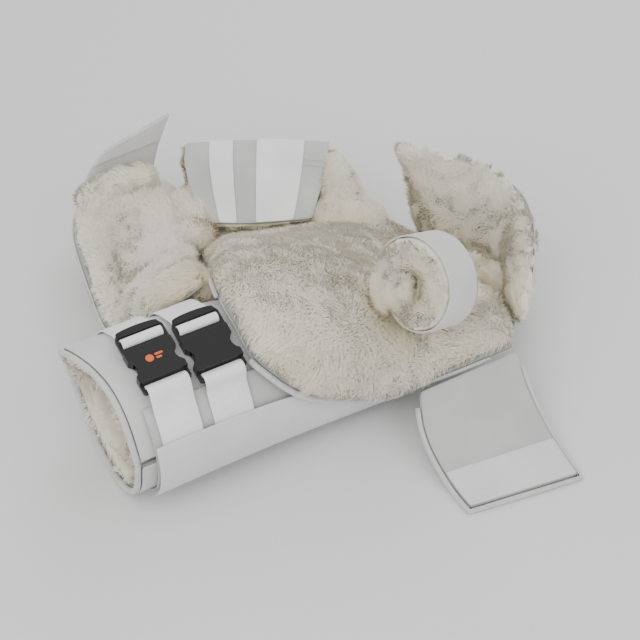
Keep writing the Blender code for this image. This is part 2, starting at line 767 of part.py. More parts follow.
def right_wing_rows():
    """The wing that stands round the rolled strap, from its seam up to its free edge."""
    seam = [
        (0.234, 0.012, 0.066), (0.2410, 0.050, 0.058), (0.2410, 0.102, 0.042),
        (0.226, 0.152, 0.028), (0.184, 0.194, 0.020), (0.134, 0.244, 0.018),
    ]
    middle = [
        (0.237, 0.014, 0.078), (0.252, 0.062, 0.080), (0.259, 0.122, 0.076),
        (0.245, 0.178, 0.078), (0.193, 0.222, 0.078), (0.125, 0.256, 0.070),
    ]
    top = [
        (0.236, 0.014, 0.086), (0.250, 0.064, 0.098), (0.257, 0.136, 0.120),
        (0.247, 0.190, 0.134), (0.184, 0.232, 0.142), (0.102, 0.256, 0.140),
    ]
    return [[Vector(p) for p in row] for row in (top, middle, seam)]


def back_panel_rows():
    """The panel that rises behind the chest and carries the folded back flap."""
    rows = [
        [(-0.142, 0.204, 0.028), (-0.098, 0.219, 0.022), (-0.042, 0.247, 0.018),
         (0.020, 0.279, 0.024)],
        [(-0.156, 0.246, 0.040), (-0.104, 0.258, 0.038), (-0.042, 0.274, 0.038),
         (0.022, 0.291, 0.042)],
        [(-0.168, 0.286, 0.064), (-0.110, 0.294, 0.066), (-0.045, 0.296, 0.066),
         (0.022, 0.300, 0.070)],
    ]
    return [[Vector(p) for p in row] for row in rows]


def between(first, last, count):
    """A row of points from one to another."""
    return [first.lerp(last, share) for share in spread(0.0, 1.0, count)]


# ---------------------------------------------------------------- the flaps
def right_flap_rows():
    """The closing flap, from its seam on the chest's front edge down to the table."""
    low = FLAP_UNDER + TABLE_CLEARANCE
    drop = Vector((0.32, -0.86, -0.40)).normalized() * (2 * SEAM_TAPE + FLAP_UNDER)
    edges = [
        (Vector(SEAM[0]) + drop, Vector(SEAM[-1]) + drop),
        (Vector((0.114, -0.122, 0.036)), Vector((0.232, -0.068, 0.048))),
        (Vector((0.124, -0.149, 0.021)), Vector((0.246, -0.098, 0.029))),
        (Vector((0.139, -0.176, 0.011)), Vector((0.262, -0.128, 0.014))),
        (Vector((0.150, -0.196, low)), Vector((0.274, -0.148, low))),
        (Vector((0.163, -0.217, low)), Vector((0.284, -0.171, low))),
    ]
    return [between(left, right, 4) for left, right in edges][::-1]


def left_flap_rows():
    """The thin closing flap that stands up from the left wing's back edge."""
    foot = (Vector((-0.306, 0.256, 0.084)), Vector((-0.222, 0.308, 0.070)))
    middle = (Vector((-0.296, 0.268, 0.102)), Vector((-0.213, 0.316, 0.110)))
    top = (Vector((-0.281, 0.276, 0.120)), Vector((-0.196, 0.319, 0.150)))
    return [between(*foot, 4), between(*middle, 4), between(*top, 4)]


def back_flap_rows():
    """The back flap folded over towards the front, shell up.

    Heights are from the back panel's own base, so two piles fit between the two.
    """
    piles = 2 * PILE
    rows = [
        [(-0.174, 0.294, 0.082), (-0.112, 0.298, 0.084), (-0.052, 0.300, 0.084),
         (0.012, 0.298, 0.081)],
        [(-0.176, 0.270, 0.078), (-0.112, 0.274, 0.080), (-0.052, 0.276, 0.080),
         (0.010, 0.276, 0.076)],
        [(-0.168, 0.236, 0.056), (-0.110, 0.240, 0.057), (-0.054, 0.242, 0.057),
         (0.004, 0.246, 0.055)],
        [(-0.150, 0.198, 0.028), (-0.106, 0.194, 0.028), (-0.058, 0.198, 0.028),
         (-0.010, 0.206, 0.028)],
    ]
    return [[Vector(p) + Vector((0, 0, piles)) for p in row] for row in rows][::-1]


def build_panels():
    chest = chest_rows()
    surface = padded_panel("chest", chest, binding=lambda spot: spot.y < 0.01 and spot.x < 4.9)
    flap_edge, _ = outline_points(surface, lambda spot: spot.y < 0.01 and 4.9 < spot.x < 6.9)
    route = [
        at + outward * (SEAM_TAPE + GAP) - normal * (UNDERSIDE / 2)
        for at, outward, normal in flap_edge
    ]
    tube("flap_seam_tape", route, SEAM_TAPE, False, SHELL_GREY)
    last = len(chest) - 1
    joins = {
        "left_wing_seam": lambda spot: spot.x < 0.01 and 1.9 < spot.y < last - 0.4,
        "back_panel_seam": lambda spot: spot.y > last - 0.01 and 0.4 < spot.x < 3.1,
        "right_wing_seam": lambda spot: (spot.x > 6.99 and spot.y > 1.9)
        or (spot.y > last - 0.01 and spot.x > 4.4),
    }
    for name, keep in joins.items():
        bound_edge(name, surface, UNDERSIDE / 2, JOIN_TAPE, keep)
    padded_panel("left_wing", left_wing_rows(chest))
    padded_panel("right_wing", right_wing_rows())
    padded_panel("back_panel", back_panel_rows())


def build_right_flap():
    rows = right_flap_rows()
    flap = cage_surface(rows)
    tip = strip_of(flap, rows=(0.0, 2.0))
    pieces = [
        layer("right_flap_backing", flap, -FLAP_UNDER + SHELL, -SHELL, SHELL_WHITE),
        layer("right_flap_foam", flap, -GAP, -FLAP_FOAM, FOAM_GREY),
        layer("right_flap_loop_panel", flap, 0.0, TAPE, SHELL_GREY),
        layer("right_flap_hook_band", tip, TAPE + GAP, TAPE, WEB_WHITE),
        bound_edge("right_flap_binding", flap, FLAP_UNDER / 2, FLAP_BINDING,
                   keep=lambda spot: spot.y < len(rows) - 1.1),
    ]
    hang(pivot_at("right_flap_pivot", Vector(SEAM[0]), Vector(SEAM[-1])), pieces)


def build_left_flap():
    rows = left_flap_rows()
    flap = cage_surface(rows)
    tip = strip_of(flap, rows=(1.0, 2.0))
    pieces = [
        layer("left_flap_shell", flap, 0.0, SHELL, SHELL_WHITE),
        layer("left_flap_hook_band", tip, SHELL + GAP, TAPE, WEB_WHITE),
    ]
    hang(pivot_at("left_flap_pivot", rows[0][0], rows[0][-1]), pieces)


def build_back_flap():
    rows = back_flap_rows()
    flap = cage_surface(rows)
    fleece_lift = -SHELL - FOAM - 2 * GAP
    pieces = [
        layer("back_flap_shell", flap, -SHELL, SHELL, SHELL_GREY),
        layer("back_flap_foam", flap, -SHELL - GAP, -FOAM, FOAM_GREY),
        layer("back_flap_fleece", flap, fleece_lift, -PILE, FLEECE_CREAM, edge=PILE_EDGE),
    ]
    for number, columns in enumerate(BACK_WEB_COLUMNS, 1):
        strip = strip_of(flap, columns=columns)
        pieces.append(layer(f"back_flap_web_{number}", strip, GAP, WEB, WEB_WHITE))
    hang(pivot_at("back_flap_pivot", *BACK_FLAP_FOLD), pieces)


def build_roll():
    """The strap rolled up at the right, shell out, resting on the chest panel."""
    axis = Vector(ROLL_AXIS).normalized()
    level = Vector((0, 0, 1)).cross(axis).normalized()
    rise = axis.cross(level)
    pitch = SHELL + GAP + ROLL_PILE + ROLL_GAP
    steps = round(ROLL_TURNS * 12)
    rows = []
    for step in range(steps + 1):
        turn = radians(ROLL_START + 30.0 * step)
        radius = ROLL_RADIUS - SHELL - pitch * step / 12
        spoke = level * cos(turn) + rise * sin(turn)
        rows.append([
            Vector(ROLL_CENTRE) + axis * (ROLL_LENGTH * share) + spoke * radius
            for share in (0.0, 0.5, 1.0)
        ])
    spiral = cage_surface(rows)
    layer("rolled_strap_shell", spiral, 0.0, -SHELL, SHELL_WHITE)
    layer("rolled_strap_fleece", spiral, GAP, ROLL_PILE, FLEECE_CREAM)


# ---------------------------------------------------------------- the breastplate
build_sleeve()
for number, (place, angle) in enumerate(zip(WEB_PLACES, BUCKLE_ANGLES), 1):
    build_strap_set(number, place, angle)
build_panels()
build_right_flap()
build_left_flap()
build_back_flap()
build_roll()

# the whole piece stands over the origin
bpy.context.view_layer.update()
corners = []
for piece in parts.objects:
    if piece.type == "MESH":
        shape = evaluated_mesh(piece)
        corners += [piece.matrix_world @ vertex.co for vertex in shape.vertices]
        bpy.data.meshes.remove(shape)
lowest = Vector([min(corner[axis] for corner in corners) for axis in range(3)])
highest = Vector([max(corner[axis] for corner in corners) for axis in range(3)])
middle = (lowest + highest) / 2
for piece in parts.objects:
    if piece.parent is None:
        piece.location -= Vector((middle.x, middle.y, lowest.z))
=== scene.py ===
# %% [markdown]
# # A fleece-lined breastplate, half rolled up
#
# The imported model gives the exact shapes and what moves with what. This script dresses
# it: every padded layer becomes a soft pad with a pile of wool locks, every outer fabric
# a smooth cloth with its own weave, and the buckles get moulded plastic.
#
# Sizes are in metres. A pattern's scale is always worked out from a real size, such as
# the spacing of a weave.

# %% Load the frame
import json

import bmesh
import bpy
import numpy as np
from mathutils import Matrix, Vector, noise
from mathutils.bvhtree import BVHTree

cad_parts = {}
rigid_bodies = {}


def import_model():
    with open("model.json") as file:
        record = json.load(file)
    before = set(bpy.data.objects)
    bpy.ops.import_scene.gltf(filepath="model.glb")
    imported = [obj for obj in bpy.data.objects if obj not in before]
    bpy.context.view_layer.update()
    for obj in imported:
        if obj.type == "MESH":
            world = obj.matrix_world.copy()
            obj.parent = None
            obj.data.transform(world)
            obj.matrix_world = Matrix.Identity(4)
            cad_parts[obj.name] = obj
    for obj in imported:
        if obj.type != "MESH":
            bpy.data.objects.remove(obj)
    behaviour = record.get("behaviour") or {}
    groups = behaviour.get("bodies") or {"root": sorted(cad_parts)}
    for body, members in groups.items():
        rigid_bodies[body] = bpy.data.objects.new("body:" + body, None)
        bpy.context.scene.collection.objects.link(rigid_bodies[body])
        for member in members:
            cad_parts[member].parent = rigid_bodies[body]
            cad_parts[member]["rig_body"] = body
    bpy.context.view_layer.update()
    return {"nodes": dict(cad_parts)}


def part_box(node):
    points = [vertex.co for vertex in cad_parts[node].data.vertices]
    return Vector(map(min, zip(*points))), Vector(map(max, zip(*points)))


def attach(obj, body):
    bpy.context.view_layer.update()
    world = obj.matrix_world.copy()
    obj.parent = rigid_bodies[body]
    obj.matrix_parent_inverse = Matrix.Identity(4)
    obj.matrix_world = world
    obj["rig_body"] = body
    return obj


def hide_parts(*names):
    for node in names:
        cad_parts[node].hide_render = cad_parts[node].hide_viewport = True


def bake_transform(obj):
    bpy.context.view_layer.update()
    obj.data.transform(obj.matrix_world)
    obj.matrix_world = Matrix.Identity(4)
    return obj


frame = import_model()
nodes = frame["nodes"]
print(len(nodes), "nodes in the frame")

# %% [markdown]
# ## Colours and shader helpers
#
# Hex colours are written as they look on a screen. The renderer works in linear light,
# so one function turns them.

# %% Colour and node helpers
MM = 0.001


def linear(hex_colour):
    """A screen colour such as "e8e0cc" as linear red, green, blue and alpha."""
    parts = [int(hex_colour[i : i + 2], 16) / 255 for i in (0, 2, 4)]
    curve = [p / 12.92 if p <= 0.04045 else ((p + 0.055) / 1.055) ** 2.4 for p in parts]
    return (*curve, 1.0)


def add_node(tree, kind, inputs=None, links=None, **settings):
    """Adds a shader node, sets its properties and inputs, and links outputs into it."""
    node = tree.nodes.new(kind)
    for name, value in settings.items():
        setattr(node, name, value)
    for name, value in (inputs or {}).items():
        node.inputs[name].default_value = value
    for name, output in (links or {}).items():
        tree.links.new(output, node.inputs[name])
    return node


def new_material(name, roughness, sheen=0.0, ior=1.5):
    """An empty material with a Principled shader; returns it, its tree and the shader."""
    made = bpy.data.materials.new(name)
    made.use_nodes = True
    tree = made.node_tree
    shader = tree.nodes["Principled BSDF"]
    shader.inputs["Roughness"].default_value = roughness
    shader.inputs["IOR"].default_value = ior
    shader.inputs["Sheen Weight"].default_value = sheen
    shader.inputs["Metallic"].default_value = 0.0
    return made, tree, shader


def ramp_node(tree, factor, stops):
    """A colour ramp over (position, hex colour) stops."""
    ramp = add_node(tree, "ShaderNodeValToRGB", links={"Fac": factor})
    elements = ramp.color_ramp.elements
    while len(elements) < len(stops):
        elements.new(0.5)
    for element, (position, colour) in zip(elements, stops):
        element.position = position
        element.color = linear(colour)
    return ramp.outputs["Color"]


# %% [markdown]
# ## Materials
#
# A woven cloth is two noises: a fine one for the yarns and a broad one for slight
# shading. The fine one also drives the bump.

# %% Fabric materials
SHADING_SIZE = 0.06


def fabric(name, dark, light, yarn, bump, roughness=0.85, sheen=0.25, along=None):
    """Woven fabric. yarn is its repeat in metres; along gives ribs across that direction."""
    made, tree, shader = new_material(name, roughness, sheen)
    place = add_node(tree, "ShaderNodeTexCoord").outputs["Object"]
    broad = add_node(
        tree, "ShaderNodeTexNoise", {"Scale": 1 / SHADING_SIZE, "Detail": 3.0}, {"Vector": place}
    )
    fine = add_node(
        tree, "ShaderNodeTexNoise", {"Scale": 1 / yarn, "Detail": 2.0}, {"Vector": place}
    )
    mixed = add_node(
        tree, "ShaderNodeMath", {1: 0.35}, {0: fine.outputs["Fac"]}, operation="MULTIPLY"
    )
    factor = add_node(
        tree, "ShaderNodeMath", {1: 0.65}, {0: broad.outputs["Fac"], 2: mixed.outputs[0]},
        operation="MULTIPLY_ADD",
    )
    colour = ramp_node(tree, factor.outputs[0], [(0.3, dark), (0.7, light)])
    tree.links.new(colour, shader.inputs["Base Color"])
    height = fine.outputs["Fac"]
    if along is not None:
        turned = add_node(
            tree, "ShaderNodeVectorMath", {1: along}, {0: place}, operation="DOT_PRODUCT"
        )
        phase = add_node(
            tree, "ShaderNodeMath", {1: 2 * np.pi / yarn}, {0: turned.outputs["Value"]},
            operation="MULTIPLY",
        )
        ribs = add_node(tree, "ShaderNodeMath", links={0: phase.outputs[0]}, operation="SINE")
        height = add_node(
            tree, "ShaderNodeMath", {1: 0.4}, {0: ribs.outputs[0], 2: height},
            operation="MULTIPLY_ADD",
        ).outputs[0]
    relief = add_node(
        tree, "ShaderNodeBump", {"Strength": bump, "Distance": 0.3 * MM}, {"Height": height}
    )
    tree.links.new(relief.outputs["Normal"], shader.inputs["Normal"])
    return made


coated_nylon = fabric("coated nylon, light grey", "c1c2c0", "d0d1cf", 1.2 * MM, 0.35)
loop_fabric = fabric("brushed loop fabric, grey", "aeafad", "bfc0be", 0.9 * MM, 0.6, sheen=0.5)
binding_cloth = fabric("binding tape, pale grey", "bcbdbb", "cdcecc", 1.0 * MM, 0.5)
hook_tape = fabric("moulded hook tape, pale", "cccdcc", "dadbda", 1.5 * MM, 0.8, roughness=0.55)
foam_rubber = fabric("closed-cell foam", "8f908e", "a5a6a3", 0.8 * MM, 0.4)
print("fabric materials made")

# %% Webbing
# the direction across the sleeve's straps, which their ribs follow
ACROSS_WEB = Vector((0.862, 0.506, 0.0))
webbing = fabric(
    "polyester webbing, white", "e2e3e3", "f4f5f5", 1.6 * MM, 0.7, along=ACROSS_WEB, sheen=0.1
)
flap_webbing = fabric(
    "polyester webbing, white, on the flap", "e2e3e3", "f4f5f5", 1.6 * MM, 0.7,
    along=(1.0, 0.0, 0.0), sheen=0.1,
)
print("webbing materials made")


# %% [markdown]
# The wool takes its colour from a value stored on the mesh: patches of random tone plus
# painted shade, low at the roots between the locks and in folds, high on the tips.

# %% Wool
def wool_material():
    made, tree, shader = new_material("brushed fleece, cream", 0.95, sheen=0.3)
    tint = add_node(tree, "ShaderNodeAttribute", attribute_name="tint", attribute_type="GEOMETRY")
    # the olive low end is painted shade in folds and at the roots; the top is the lighter tips
    colour = ramp_node(
        tree,
        tint.outputs["Fac"],
        [(0.0, "a29b66"), (0.25, "d8d0a8"), (0.5, "f2e8cd"), (0.72, "f9f4e6"), (1.0, "fdfcf8")],
    )
    tree.links.new(colour, shader.inputs["Base Color"])
    glow = add_node(tree, "ShaderNodeBsdfTranslucent", links={"Color": colour})
    mixed = add_node(
        tree, "ShaderNodeMixShader", {"Fac": 0.15}, {1: shader.outputs[0], 2: glow.outputs[0]}
    )
    tree.links.new(mixed.outputs[0], tree.nodes["Material Output"].inputs["Surface"])
    return made


wool = wool_material()
print("wool material made")


# %% Plastic
def plastic(name, colour):
    """Injection-moulded plastic with a fine spark-eroded grain and softened edges."""
    made, tree, shader = new_material(name, 0.36, ior=1.48)
    place = add_node(tree, "ShaderNodeTexCoord").outputs["Object"]
    grain = add_node(
        tree, "ShaderNodeTexNoise", {"Scale": 1 / (0.5 * MM), "Detail": 2.0}, {"Vector": place}
    )
    edges = add_node(tree, "ShaderNodeBevel", {"Radius": 0.5 * MM}, samples=6)
    relief = add_node(
        tree, "ShaderNodeBump", {"Strength": 0.12, "Distance": 0.05 * MM},
        {"Height": grain.outputs["Fac"], "Normal": edges.outputs["Normal"]},
    )
    tree.links.new(relief.outputs["Normal"], shader.inputs["Normal"])
    shader.inputs["Base Color"].default_value = linear(colour)
    return made


acetal = plastic("moulded acetal, black", "131314")
print("plastic material made")

# %% [markdown]
# ## Shape helpers
#
# The frame's meshes are made of triangles. Pairing them back into quads lets Subdivision
# Surface round them, as cloth is round.

# %% Mesh helpers
def as_quads(node_name):
    """A copy of a CAD node's mesh with its points welded and its triangles paired."""
    work = bmesh.new()
    work.from_mesh(nodes[node_name].data)
    bmesh.ops.remove_doubles(work, verts=work.verts, dist=0.00002)
    bmesh.ops.join_triangles(
        work, faces=work.faces, angle_face_threshold=0.6, angle_shape_threshold=1.6
    )
    mesh = bpy.data.meshes.new(node_name)
    work.to_mesh(mesh)
    work.free()
    return mesh


def show(name, mesh, surface, body, replaced):
    """Adds a piece that stands for a CAD node and moves with its body, if one is given."""
    piece = bpy.data.objects.new(name, mesh)
    bpy.context.scene.collection.objects.link(piece)
    mesh.materials.clear()
    mesh.materials.append(surface)
    if body:
        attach(piece, body)
    if replaced:
        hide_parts(replaced)
    return piece


def baked_mesh(piece):
    """The mesh of an object with its modifiers applied."""
    depsgraph = bpy.context.evaluated_depsgraph_get()
    return bpy.data.meshes.new_from_object(piece.evaluated_get(depsgraph))


def coordinates(mesh):
    values = np.empty(len(mesh.vertices) * 3, np.float32)
    mesh.vertices.foreach_get("co", values)
    return values.reshape(-1, 3)


def vertex_normals(mesh):
    values = np.empty(len(mesh.vertices) * 3, np.float32)
    mesh.vertices.foreach_get("normal", values)
    return values.reshape(-1, 3)


def set_coordinates(mesh, places):
    mesh.vertices.foreach_set("co", np.asarray(places, np.float32).ravel())
    mesh.update()


def noise_at(places, size, seed):
    """Smooth noise from about -1 to 1 at each place, with features of that size."""
    shift = Vector((seed * 7.3, seed * 3.1, seed * 5.7))
    return np.array([noise.noise(Vector(p) / size + shift) for p in places])


# %% Cloth sheets
FOLD_ANGLE = 0.9  # in radians; an edge sharper than this stays crisp
CRISPNESS = 0.7


def cloth(node_name, surface, wrinkle=0.0, size=0.03, levels=2, keep=1.0,
          crosses=False):
    """A CAD sheet rounded into smooth cloth, with shallow wrinkles.

    keep under 1 draws it in from its edges. crosses leaves it attached to no body.
    """
    mesh = as_quads(node_name)
    crease = mesh.attributes.new("crease_edge", "FLOAT", "EDGE")
    work = bmesh.new()
    work.from_mesh(mesh)
    sharp = [
        1.0 if len(e.link_faces) == 2 and e.calc_face_angle(0.0) > FOLD_ANGLE else 0.0
        for e in work.edges
    ]
    work.free()
    crease.data.foreach_set("value", np.array(sharp, np.float32) * CRISPNESS)
    holder = bpy.data.objects.new(node_name + "_rough", mesh)
    bpy.context.scene.collection.objects.link(holder)
    rounded = holder.modifiers.new("rounded", "SUBSURF")
    rounded.levels = rounded.render_levels = levels
    smooth = baked_mesh(holder)
    bpy.data.objects.remove(holder)
    if wrinkle:
        places = coordinates(smooth)
        lift = noise_at(places, size, 1) + 0.5 * noise_at(places, size * 0.45, 2)
        set_coordinates(smooth, places + vertex_normals(smooth) * (lift * wrinkle)[:, None])
    places = coordinates(smooth)
    set_coordinates(smooth, places.mean(axis=0) * (1 - keep) + places * keep)
    smooth.shade_smooth()
    body = None if crosses else frame_body(node_name)
    return show(node_name + "_cloth", smooth, surface, body, node_name)


def frame_body(node_name):
    return nodes[node_name]["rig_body"]


print("helpers ready")

# %% [markdown]
# ## The pads
#
# Each fleece layer is remeshed evenly and softened. The chest and the two wings are also
# puffed up by a short cloth simulation with air pressure inside, as a quilted pad is.
# Movement is capped so that they stay in their places.

# %% Pads
PUFF_PRESSURE = 3.0
PUFF_FRAMES = 14
PUFF_LIMIT = 4 * MM
LUMP = 1.5 * MM  # how far the surface rises and sinks at random
TUCKED = 1.0 * MM  # how far a pad sinks into its backing


def puffed(node_name, voxel, pressure, limit, tufts=()):
    """A CAD slab as an even, soft mesh; pressure 0 leaves out the simulation.

    tufts are round bunches of fleece, (centre, radius), that close the gaps at seams.
    """
    work = bmesh.new()
    work.from_mesh(nodes[node_name].data)
    for centre, radius in tufts:
        bmesh.ops.create_icosphere(
            work, subdivisions=2, radius=radius, matrix=Matrix.Translation(centre)
        )
    rough = bpy.data.meshes.new(node_name + "_rough")
    work.to_mesh(rough)
    work.free()
    holder = bpy.data.objects.new(node_name + "_rough", rough)
    bpy.context.scene.collection.objects.link(holder)
    even = holder.modifiers.new("even", "REMESH")
    even.mode = "VOXEL"
    even.voxel_size = voxel
    holder.data = baked_mesh(holder)
    holder.modifiers.clear()
    if pressure:
        start = coordinates(holder.data)
        stuffing = holder.modifiers.new("stuffing", "CLOTH")
        stuffing.settings.quality = 4
        stuffing.settings.use_pressure = True
        stuffing.settings.uniform_pressure_force = pressure
        stuffing.settings.effector_weights.gravity = 0.0
        for step in range(1, PUFF_FRAMES + 1):
            bpy.context.scene.frame_set(step)
        moved = coordinates(baked_mesh(holder)) - start
        holder.modifiers.clear()
        length = np.linalg.norm(moved, axis=1, keepdims=True)
        moved *= np.minimum(1.0, limit / np.maximum(length, 1e-9))
        set_coordinates(holder.data, start + moved)
        bpy.context.scene.frame_set(1)
    softened = holder.modifiers.new("softened", "SMOOTH")
    softened.factor = 0.5
    softened.iterations = 4
    mesh = baked_mesh(holder)
    bpy.data.objects.remove(holder)
    return mesh


def tree_of(names):
    """A search tree over the triangles of some CAD nodes."""
    points, faces = [], []
    for name in names:
        mesh = nodes[name].data
        first = len(points)
        points += [tuple(v.co) for v in mesh.vertices]
        faces += [[first + i for i in p.vertices] for p in mesh.polygons]
    return BVHTree.FromPolygons(points, faces)


whole = tree_of(sorted(nodes))
DIRECTIONS = [
    Vector((np.cos(a) * s, np.sin(a) * s, (1 - s * s) ** 0.5))
    for s, steps in ((0.35, 4), (0.85, 7))
    for a in np.linspace(0, 2 * np.pi, steps, endpoint=False)
]


SKY_START = 0.012  # rays start this far off the surface
SKY_REACH = 0.055  # and look this far for cover


def shut_in(place, normal):
    """How much of the sky over a point is covered nearby, from 0 to 1."""
    across = normal.orthogonal().normalized()
    beside = normal.cross(across)
    start = place + normal * SKY_START
    hits = 0
    for d in DIRECTIONS:
        ray = across * d.x + beside * d.y + normal * d.z
        hits += whole.ray_cast(start, ray, SKY_REACH)[0] is not None
    return hits / len(DIRECTIONS)


def smoothed(mesh, values, rounds):
    """Averages one value a vertex with its neighbours', several times over."""
    ends = np.empty(len(mesh.edges) * 2, np.int32)
    mesh.edges.foreach_get("vertices", ends)
    first, second = ends.reshape(-1, 2).T
    count = np.bincount(ends, minlength=len(values)) + 1.0
    for _ in range(rounds):
        total = values + np.bincount(first, values[second], len(values))
        values = (total + np.bincount(second, values[first], len(values))) / count
    return values.astype(np.float32)


BACKING_REACH = 0.009  # a layer further off than this is not a backing
TOUCHING = 0.0005


def faces_backing(places, normals, backing_nodes):
    """Marks the places whose normal points at a layer that lies against them."""
    backing = tree_of(backing_nodes)
    marked = np.zeros(len(places), bool)
    for i, (place, normal) in enumerate(zip(places, normals)):
        found = backing.find_nearest(Vector(place), BACKING_REACH)
        if found[0] is not None:
            toward = (found[0] - Vector(place)).dot(Vector(normal))
            marked[i] = toward > 0.5 * found[3] or found[3] < TOUCHING
    return marked


def pad(node_name, backing_nodes, front, bulge, spread, voxel, pressure, tufts):
    """The soft body of one fleece layer.

    It swells by bulge towards front and by spread sideways, but not into its backing.
    Its colour value is stored on it: patches of random tone plus painted shade in hollows.
    """
    mesh = puffed(node_name, voxel, pressure, PUFF_LIMIT, tufts)
    places, normals = coordinates(mesh), vertex_normals(mesh)
    lumps = noise_at(places, 0.035, 3) + 0.6 * noise_at(places, 0.016, 4)
    if front is None:
        share = np.ones(len(places))
    else:
        share = np.clip(normals @ np.array(front, float), 0, 1)
    swell = spread + (bulge - spread) * share + lumps * LUMP
    held = smoothed(mesh, faces_backing(places, normals, backing_nodes).astype(float), 1)
    swell = swell * (1 - held) - TUCKED * held
    set_coordinates(mesh, places + normals * smoothed(mesh, swell, 2)[:, None])
    places = coordinates(mesh)
    # painted shade: the more of the sky over a point nearby layers cover, the darker it is
    painted_shade = np.array([shut_in(Vector(p), Vector(n)) for p, n in zip(places, normals)])
    patches = noise_at(places, 0.09, 7) + 0.3 * noise_at(places, 0.04, 8)
    # the colour value: random patches of tone, minus that painted shade
    tint = 0.7 + 0.08 * patches - 0.32 * smoothed(mesh, painted_shade, 16)
    tint = np.clip(tint, 0, 1).astype(np.float32)
    mesh.attributes.new("tint", "FLOAT", "POINT").data.foreach_set("value", tint)
    mesh.shade_smooth()
    piece = show(node_name + "_pad", mesh, wool, frame_body(node_name), node_name)
    return piece


# %% [markdown]
# ## The pile
#
# A lock of wool is a thin blade in three bends. Each one starts on the pad, rises along
# the skin's normal and is combed over sideways. Their shading normals are the skin's own,
# so that the pile looks soft and not like grass.

# %% Wool locks
LOCK_POINTS = 7  # two at the root, two at each bend and the tip
LOCK_LENGTH = 8 * MM
# without a seed, noise_vector takes its offsets from the clock
noise.seed_set(1)


def comb(places, normals, direction, seed):
    """The sideways lean of each lock: a common direction, stirred by two noises."""
    lean = np.tile(np.array(direction, float), (len(places), 1))
    for size, strength in ((0.06, 0.9), (0.018, 0.55)):
        shift = Vector((seed * 3.7, seed * 1.9, seed * 2.3))
        stirred = np.array([noise.noise_vector(Vector(p) / size + shift) for p in places])
        lean += stirred * strength * 2.0
    lean -= normals * np.sum(lean * normals, axis=1, keepdims=True)
    return lean


def grow_wool(piece, count, length, direction, backing_nodes, seed, width=0.8 * MM):
    """Covers a pad in locks of wool, except where it faces its backing."""
    rng = np.random.default_rng(seed)
    mesh = piece.data
    mesh.calc_loop_triangles()
    corners = np.array([t.vertices[:] for t in mesh.loop_triangles])
    places, normals = coordinates(mesh).astype(float), vertex_normals(mesh).astype(float)
    tint = np.empty(len(places), np.float32)
    mesh.attributes["tint"].data.foreach_get("value", tint)
    open_skin = ~faces_backing(places, normals, backing_nodes)
    corners = corners[open_skin[corners].all(axis=1)]
    a, b, c = (places[corners[:, i]] for i in range(3))
    area = np.linalg.norm(np.cross(b - a, c - a), axis=1)
    chosen = rng.choice(len(area), size=count, p=area / area.sum())
    share = rng.dirichlet((1, 1, 1), count)
    root = sum(places[corners[chosen, i]] * share[:, i : i + 1] for i in range(3))
    up = sum(normals[corners[chosen, i]] * share[:, i : i + 1] for i in range(3))
    up /= np.linalg.norm(up, axis=1, keepdims=True)
    # each lock takes the pad's colour value, painted shade included
    shaded_tone = sum(tint[corners[chosen, i]] * share[:, i] for i in range(3))

    lean = comb(root, up, direction, seed) + rng.normal(0, 0.2, root.shape)
    long = length * (1 + 0.25 * noise_at(root, 0.02, seed + 6) + rng.normal(0, 0.15, count))
    long = long[:, None]
    side = np.cross(lean, up) + rng.normal(0, 0.12, lean.shape)
    side /= np.maximum(np.linalg.norm(side, axis=1, keepdims=True), 1e-9)
    broad = width * (1 + 0.25 * rng.normal(0, 1, (count, 1)))
    rows = []
    for t, full in ((0.0, 1.0), (0.35, 0.95), (0.7, 0.6)):
        middle = root + long * (up * (t - 0.45 * t * t) + lean * (0.5 * t * t + 0.2 * t))
        rows += [middle - side * broad * full / 2, middle + side * broad * full / 2]
    rows.append(root + long * (up * 0.55 + lean * 0.7))
    shaded_tone = shaded_tone + rng.normal(0, 0.025, count)
    # painted shade: each lock is darker at its root, down between the locks, and lighter towards
    # the tip
    shaded_tones = [np.clip(shaded_tone + shade_step, 0, 1) for shade_step in (-0.03, -0.03, 0, 0, 0.03, 0.03, 0.05)]
    points = np.stack(rows, axis=1).reshape(-1, 3)
    first = np.arange(count)[:, None] * LOCK_POINTS
    quads = np.concatenate([first + np.array([[0, 1, 3, 2]]), first + np.array([[2, 3, 5, 4]])])
    tips = first + np.array([[4, 5, 6]])
    name = piece.name.replace("_pad", f"_wool_{seed}")
    pile = bpy.data.meshes.new(name)
    pile.from_pydata(points.tolist(), [], quads.tolist() + tips.tolist())
    pile.attributes.new("tint", "FLOAT", "POINT").data.foreach_set(
        "value", np.stack(shaded_tones, axis=1).astype(np.float32).ravel()
    )
    pile.shade_smooth()
    pile.normals_split_custom_set_from_vertices(np.repeat(up, LOCK_POINTS, axis=0).tolist())
    return show(name, pile, wool, piece["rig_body"], None)


# %% Pads and their pile
ROLL_FRONT = (-0.727, -0.601, 0.335)
MOUTH_FRONT = (-0.861, -0.509, 0.0)
PUFFED_LAYERS = ("chest", "left_wing", "right_wing")
SLEEVE_BACKING = ["sleeve_shell", "sleeve_foam", "liner_shell"]
